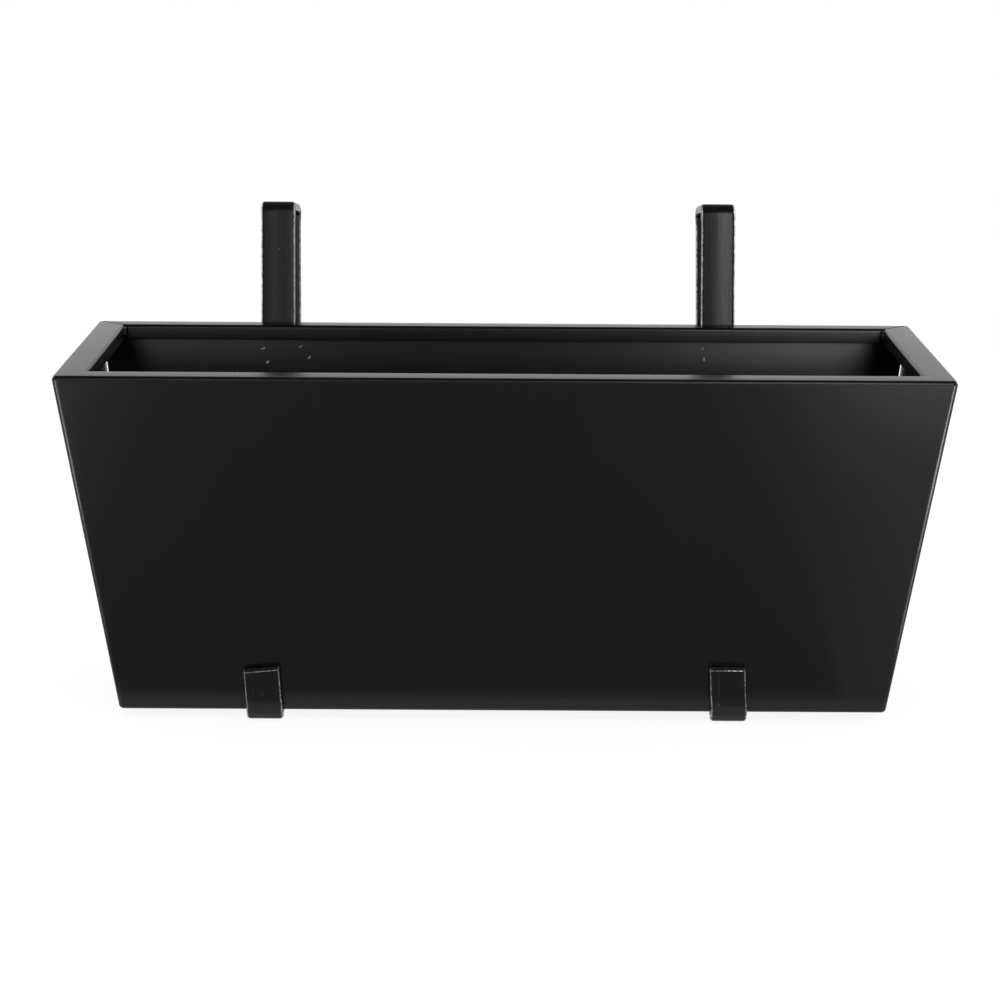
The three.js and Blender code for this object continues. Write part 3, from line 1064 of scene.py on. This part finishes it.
class PLANTER_OT_welds(bpy.types.Operator):
    """Presses the spot welds into the rear wall and lays the beads in the rear lip's corners"""

    bl_idname = "planter.welds"
    bl_label = "Welds"

    def execute(self, context):
        sheets, welds = context.scene.planter_sheets, context.scene.planter_welds
        half_length, depth, front = rim_size(sheets)
        slope = slope_of(sheets)
        material = coat("weld_powder_coat", weld_coat)
        wall = sheets.sheet / math.cos(slope) + sheets.crown
        spots = [
            (x, front + depth - drop * math.tan(slope) - wall, SHELL_HIGH.z - drop)
            for x, drop in SPOTS]
        pieces = [self.spot_welds(welds, slope, spots, material)]
        beads = []
        for side in (-1.0, 1.0):
            x = side * (half_length - sheets.rim_flange)
            y = front + depth - sheets.rear_rim_flange
            top = SHELL_HIGH.z - sheets.sheet
            beads += [(x, y, top), (x, y - 0.0004, top - welds.bead_length)]
        pieces.append(self.beads(welds, beads, material))
        for piece in pieces:
            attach(piece, PLANTER_BODY)
        return {"FINISHED"}

    def spot_welds(self, welds, slope, spots, material):
        """Shallow round marks, raised towards their edge and sunk in the middle"""
        recipe = Recipe("spot_welds", {
            "Radius": welds.spot_radius,
            "Height": welds.spot_height,
            "Turn": Vector((math.pi / 2 - slope, 0.0, 0.0)),
            "Seed": 4.0,
        })
        given = recipe.given
        ball = recipe.add(
            "GeometryNodeMeshUVSphere", None,
            {"Segments": 36, "Rings": 24, "Radius": given("Radius")})
        x, y, z = recipe.split(recipe.position())
        away = recipe.lengths(recipe.join(x, y, 0.0)) / given("Radius")
        crater = 0.45 + away.bell(0.62, 0.2) * 0.6 - away.bell(0.0, 0.3) * 0.25
        flat = z * (given("Height") / given("Radius")) * crater
        mark = recipe.placed(ball, Position=recipe.join(x, y, flat))
        marks = recipe.add(
            "GeometryNodeInstanceOnPoints", None,
            {"Points": recipe.from_seed(), "Instance": mark,
             "Rotation": given("Turn")})
        marks = recipe.add("GeometryNodeRealizeInstances", None, {"Geometry": marks})
        uneven = recipe.lumps(420.0, given("Seed"))
        marks = recipe.placed(marks, Offset=recipe.scaled(uneven, given("Height") * 0.8))
        recipe.finish(marks, material)
        return settle("spot_welds", recipe.make("spot_welds", spots), material, 70.0)

    def beads(self, welds, ends, material):
        """Short lumpy beads between pairs of points"""
        recipe = Recipe("corner_beads", {
            "Radius": welds.bead_radius,
            "Lumps": welds.bead_lumps,
            "Seed": 7.0,
        })
        given = recipe.given
        path = recipe.add(
            "GeometryNodeMeshToCurve", None, {"Mesh": recipe.from_seed()})
        path = recipe.add(
            "GeometryNodeResampleCurve", None, {"Curve": path, "Count": 30})
        along = recipe.add("GeometryNodeSplineParameter", output="Factor")
        taper = 0.3 + along * 0.7
        path = recipe.add(
            "GeometryNodeSetCurveRadius", None, {"Curve": path, "Radius": taper})
        ring = recipe.add(
            "GeometryNodeCurvePrimitiveCircle", None, {"Resolution": 18, "Radius": given("Radius")})
        bead = recipe.add(
            "GeometryNodeCurveToMesh", None,
            {"Curve": path, "Profile Curve": ring, "Fill Caps": True})
        uneven = recipe.lumps(900.0, given("Seed"))
        bead = recipe.placed(bead, Offset=recipe.scaled(uneven, given("Lumps")))
        recipe.finish(bead, material)
        return settle("corner_beads", recipe.make("corner_beads", ends, [(0, 1), (2, 3)]), material, 60.0)


# Stage


# Softboxes: place, aim, width and height, radiance where 1 is white, colour, and True if it also
# lights matt surfaces. The others only show in the coat's shine, and leave its colours as written.
SOFTBOXES = (
    ("key_softbox", (0.9, -1.6, 2.1), (0.0, 0.0, 0.1),
     (1.0, 0.8), 1.6, (0.98, 0.99, 1.0), True),
    ("right_front_softbox", (0.67, -2.6, 1.35), (0.1, 0.0, 0.3),
     (0.56, 1.9), 15.0, (0.92, 0.96, 1.0), False),
    ("left_front_softbox", (-0.52, -2.6, 1.35), (-0.1, 0.0, 0.3),
     (0.26, 1.9), 6.0, (0.97, 0.98, 1.0), False),
    ("right_back_softbox", (1.35, 0.65, 0.62), (0.15, 0.0, 0.3),
     (1.3, 1.2), 8.0, (0.98, 0.99, 1.0), False),
    ("left_back_softbox", (-1.35, 0.65, 0.62), (-0.15, 0.0, 0.3),
     (1.3, 1.2), 8.0, (1.0, 0.99, 0.98), False),
)

# Reflectors that lie on the floor and only show in the coat's shine: middle, turn in degrees, width and
# length, radiance, colour
REFLECTORS = (
    ("right_corner_reflector", (0.698, -0.39), 60.0, (0.2, 0.44), 46.0, (0.98, 0.99, 1.0)),
    ("left_corner_reflector", (-0.698, -0.39), -60.0, (0.2, 0.44), 27.0, (1.0, 0.99, 0.98)),
    ("right_foot_reflector", (0.421, -0.23), 60.0, (0.1, 0.16), 15.0, (0.98, 0.99, 1.0)),
    ("left_foot_reflector", (-0.421, -0.23), -60.0, (0.1, 0.16), 4.0, (1.0, 0.99, 0.98)),
    ("right_front_reflector", (0.6, -0.87), 0.0, (0.6, 0.52), 6.5, (0.9, 0.95, 1.0)),
    ("left_front_reflector", (-0.68, -0.78), 0.0, (0.5, 0.56), 6.0, (1.0, 1.0, 1.0)),
    ("right_low_reflector", (0.57, -0.42), 0.0, (0.66, 0.54), 0.8, (0.9, 0.95, 1.0)),
    ("left_low_reflector", (-0.62, -0.46), 0.0, (0.56, 0.6), 0.6, (1.0, 1.0, 1.0)),
    ("foot_reflector", (0.0, -0.134), 0.0, (0.58, 0.024), 1.4, (1.0, 1.0, 1.0)),
)


class PLANTER_OT_stage(bpy.types.Operator):
    """Sets the pale floor, the lamps, the room's light and the camera"""

    bl_idname = "planter.stage"
    bl_label = "Stage"

    def execute(self, context):
        studio = context.scene.planter_studio
        lay_floor()
        light_room(context.scene, studio)
        for name, place, aim, size, radiance, color, matt in SOFTBOXES:
            turn = (Vector(aim) - Vector(place)).to_track_quat("-Z", "Y").to_euler()
            hang_lamp(name, place, turn, size, radiance, color, matt)
        for name, (x, y), turn, size, radiance, color in REFLECTORS:
            place, face_up = (x, y, REFLECTOR_HEIGHT), (math.pi, 0.0, math.radians(turn))
            hang_lamp(name, place, face_up, size, radiance, color, False)
        place_camera(context.scene, studio)
        return {"FINISHED"}


def lay_floor():
    """Pale floor that keeps a soft shadow near the object and fades to plain white away from it"""
    material, graph, shader, place = coat_graph("pale_floor")
    tree = material.node_tree
    away = graph.add("ShaderNodeVectorMath", {"operation": "LENGTH"}, {0: place}, "Value")
    far = away.between(*SHADOW_FADES)
    matt = graph.add("ShaderNodeBsdfDiffuse", None, {"Color": FLOOR_SHOWN})
    white = graph.add("ShaderNodeEmission", None, {"Color": WHITE, "Strength": FLOOR_GLOW})
    near = graph.add("ShaderNodeAddShader", None, {0: matt, 1: white})
    plain = graph.add("ShaderNodeEmission", None, {"Strength": 1.0})
    surface = graph.add("ShaderNodeMixShader", None, {0: far, 1: near, 2: plain})
    light = tree.nodes.new("ShaderNodeLightPath")
    seen = Wire(graph, light.outputs["Is Camera Ray"]) + Wire(graph, light.outputs["Is Glossy Ray"])
    seen = seen + Wire(graph, light.outputs["Is Transmission Ray"])
    dull = graph.add("ShaderNodeBsdfDiffuse", None, {"Color": FLOOR_LIT})
    whole = graph.add("ShaderNodeMixShader", None, {0: seen, 1: dull, 2: surface})
    graph.feed(tree.nodes["Material Output"].inputs["Surface"], whole)
    tree.nodes.remove(shader)
    mesh = bpy.data.meshes.new("studio_floor")
    corners = ((-1, -1), (1, -1), (1, 1), (-1, 1))
    mesh.from_pydata(
        [(x * FLOOR_HALF, y * FLOOR_HALF, FLOOR_LEVEL) for x, y in corners], [], [(0, 1, 2, 3)])
    mesh.materials.append(material)
    floor = bpy.data.objects.new("studio_floor", mesh)
    bpy.context.scene.collection.objects.link(floor)


def light_room(scene, studio):
    """White room for the eye and for reflections, darker overhead, and a plain light on matt surfaces"""
    world = bpy.data.worlds.new("studio_room")
    world.use_nodes = True
    graph = Graph(world.node_tree)
    light = world.node_tree.nodes.new("ShaderNodeLightPath")
    direction = graph.add("ShaderNodeTexCoord", output="Generated")
    up = graph.add("ShaderNodeSeparateXYZ", None, {0: direction}, 2)
    up = up.between(*ROOM_DARKENS)
    seen = Wire(graph, light.outputs["Is Camera Ray"]) + Wire(graph, light.outputs["Is Glossy Ray"])
    seen = (seen + Wire(graph, light.outputs["Is Transmission Ray"])) > 0.5
    shown = 1.0 - up * (1.0 - studio.ceiling)
    strength = studio.surround + seen * (shown - studio.surround)
    warm = graph.add(
        "ShaderNodeMix", {"data_type": "RGBA"},
        {0: up * seen, 6: WHITE, 7: WARM_CEILING}, 2)
    graph.feed(world.node_tree.nodes["Background"].inputs["Color"], warm)
    graph.feed(world.node_tree.nodes["Background"].inputs["Strength"], strength)
    scene.world = world


def hang_lamp(name, place, turn, size, radiance, color, matt):
    """Rectangular softbox that the camera doesn't see"""
    lamp = bpy.data.lights.new(name, "AREA")
    lamp.shape = "RECTANGLE"
    lamp.size, lamp.size_y = size
    lamp.energy = radiance * math.pi * size[0] * size[1]
    lamp.color = color
    holder = bpy.data.objects.new(name, lamp)
    holder.location = place
    holder.rotation_euler = turn
    holder.visible_camera = False
    holder.visible_diffuse = matt
    bpy.context.scene.collection.objects.link(holder)


def place_camera(scene, studio):
    """Camera at the photograph's place, from its yaw, pitch and roll"""
    yaw, pitch, roll = studio.yaw, studio.pitch, studio.roll
    ahead = Vector((
        math.sin(yaw) * math.cos(pitch), math.cos(yaw) * math.cos(pitch), -math.sin(pitch)))
    level = Vector((math.cos(yaw), -math.sin(yaw), 0.0))
    down = ahead.cross(level)
    right = level * math.cos(roll) + down * math.sin(roll)
    up = level * math.sin(roll) - down * math.cos(roll)
    camera = bpy.data.cameras.new("studio_camera")
    camera.sensor_width = 36.0
    camera.lens = studio.lens
    camera.clip_end = 60.0
    holder = bpy.data.objects.new("studio_camera", camera)
    turn = Matrix((right, up, -ahead)).transposed().to_4x4()
    front_edge = Vector((0.0, rim_size(scene.planter_sheets)[2], SHELL_HIGH.z))
    holder.matrix_world = Matrix.Translation(front_edge + Vector(studio.eye)) @ turn
    scene.collection.objects.link(holder)
    scene.camera = holder
    scene.view_settings.view_transform = "Standard"


class PLANTER_PT_panel(bpy.types.Panel):
    """Lists the planter's pieces and the stage"""

    bl_idname = "PLANTER_PT_panel"
    bl_label = "Window box planter"
    bl_space_type = "VIEW_3D"
    bl_region_type = "UI"
    bl_category = "Window box"

    def draw(self, context):
        for operator in OPERATORS:
            self.layout.operator(operator.bl_idname)
        for label, group in SETTINGS.items():
            box = self.layout.box()
            box.label(text=group.__doc__)
            for entry in group.__annotations__:
                box.prop(getattr(context.scene, label), entry)


OPERATORS = (
    PLANTER_OT_sheets,
    PLANTER_OT_floor,
    PLANTER_OT_brackets,
    PLANTER_OT_lugs,
    PLANTER_OT_welds,
    PLANTER_OT_stage,
)


def register():
    for group in SETTINGS.values():
        bpy.utils.register_class(group)
    for operator in OPERATORS:
        bpy.utils.register_class(operator)
    bpy.utils.register_class(PLANTER_PT_panel)
    for label, group in SETTINGS.items():
        setattr(bpy.types.Scene, label, PointerProperty(type=group))


def unregister():
    for label in SETTINGS:
        delattr(bpy.types.Scene, label)
    bpy.utils.unregister_class(PLANTER_PT_panel)
    for operator in reversed(OPERATORS):
        bpy.utils.unregister_class(operator)
    for group in reversed(list(SETTINGS.values())):
        bpy.utils.unregister_class(group)


def main():
    register()
    for operator in OPERATORS:
        family, name = operator.bl_idname.split(".")
        getattr(getattr(bpy.ops, family), name)()


if __name__ == "__main__":
    main()
